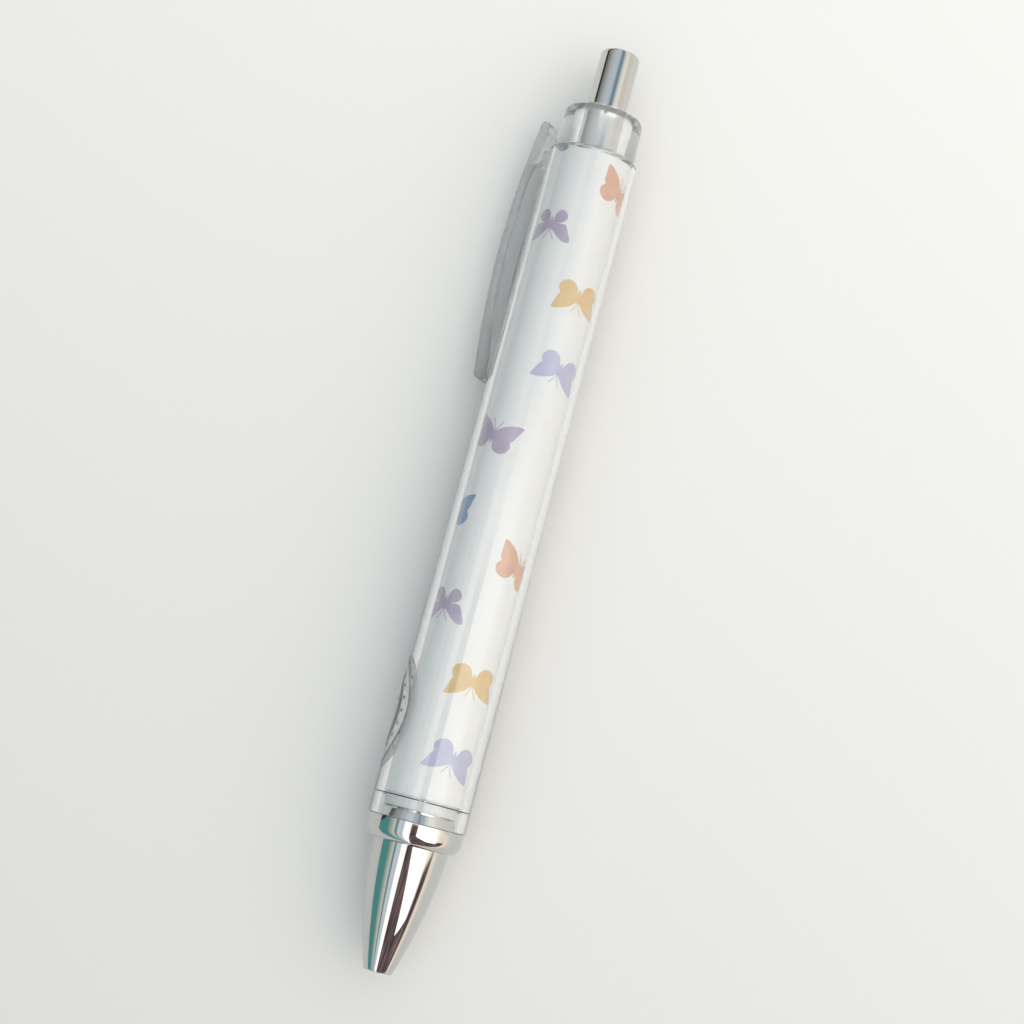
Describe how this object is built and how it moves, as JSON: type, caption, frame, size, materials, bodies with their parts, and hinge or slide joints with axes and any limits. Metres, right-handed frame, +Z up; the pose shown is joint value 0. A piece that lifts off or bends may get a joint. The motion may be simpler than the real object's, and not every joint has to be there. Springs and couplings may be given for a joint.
{
  "type": "gel pen",
  "caption": "Retractable gel pen with a clear barrel over a printed paper sleeve, chromed tip and push button, and a clear pocket clip.",
  "frame": {"origin": "centre of the bounding box's base, on the surface that the pen lies on", "axes": "+X along the pen towards its writing tip, +Z up, the clip low on the -Y side, 27 degrees below the horizontal"},
  "size_m": [0.14, 0.0176, 0.0143],
  "materials": {
    "chrome": "bright chrome plating",
    "clear_plastic": "clear polystyrene, polished mould",
    "paper": "smooth coated paper with a pastel butterfly print",
    "sticker": "clear film, satin",
    "milky_plastic": "natural polypropylene, translucent",
    "white_plastic": "white acetal",
    "spring_steel": "drawn wire",
    "point_metal": "turned nickel silver",
    "carbide": "ground tungsten carbide",
    "ink": "black gel ink",
    "grease": "clear follower grease"
  },
  "bodies": {
    "casing": {"tip_cone": "chrome", "outer_barrel": "clear_plastic", "paper_insert": "paper", "inner_tube": "milky_plastic", "head_cap": "clear_plastic", "cam_sleeve": "white_plastic", "round_label": "sticker", "return_spring": "spring_steel"},
    "button": {"push_button": "chrome", "thrust_cam": "white_plastic"},
    "refill": {"metal_point": "point_metal", "point_holder": "milky_plastic", "refill_tube": "milky_plastic", "gel_ink": "ink", "ink_follower": "grease", "follower_float": "milky_plastic", "tail_plug": "white_plastic", "writing_ball": "carbide"},
    "rotor": {"rotor_cam": "white_plastic"},
    "clip": {"pocket_clip": "clear_plastic"}
  },
  "joints": [
    {"name": "button_press", "type": "slide", "parent": "casing", "child": "button", "axis": [1, 0, 0], "range_m": [0, 0.006], "stiffness_N_per_m": 250, "springref_m": -0.002},
    {"name": "refill_slide", "type": "slide", "parent": "casing", "child": "refill", "axis": [1, 0, 0], "range_m": [0, 0.006], "deforming": ["return_spring"]},
    {"name": "rotor_turn", "type": "hinge", "parent": "refill", "child": "rotor", "pos_m": [-0.0445, 0.00165, 0.0072], "axis": [1, 0, 0], "range_deg": [0, 22.5]},
    {"name": "clip_flex", "type": "hinge", "parent": "casing", "child": "clip", "pos_m": [-0.055, -0.005, 0.00381], "axis": [0, 0.454, -0.891], "range_deg": [0, 3.5], "stiffness_Nm_per_rad": 0.4}
  ],
  "couplings": [
    {"joint": "refill_slide", "follows": "button_press", "ratio": 1},
    {"joint": "rotor_turn", "follows": "button_press", "rad_per_m": 65.4}
  ]
}
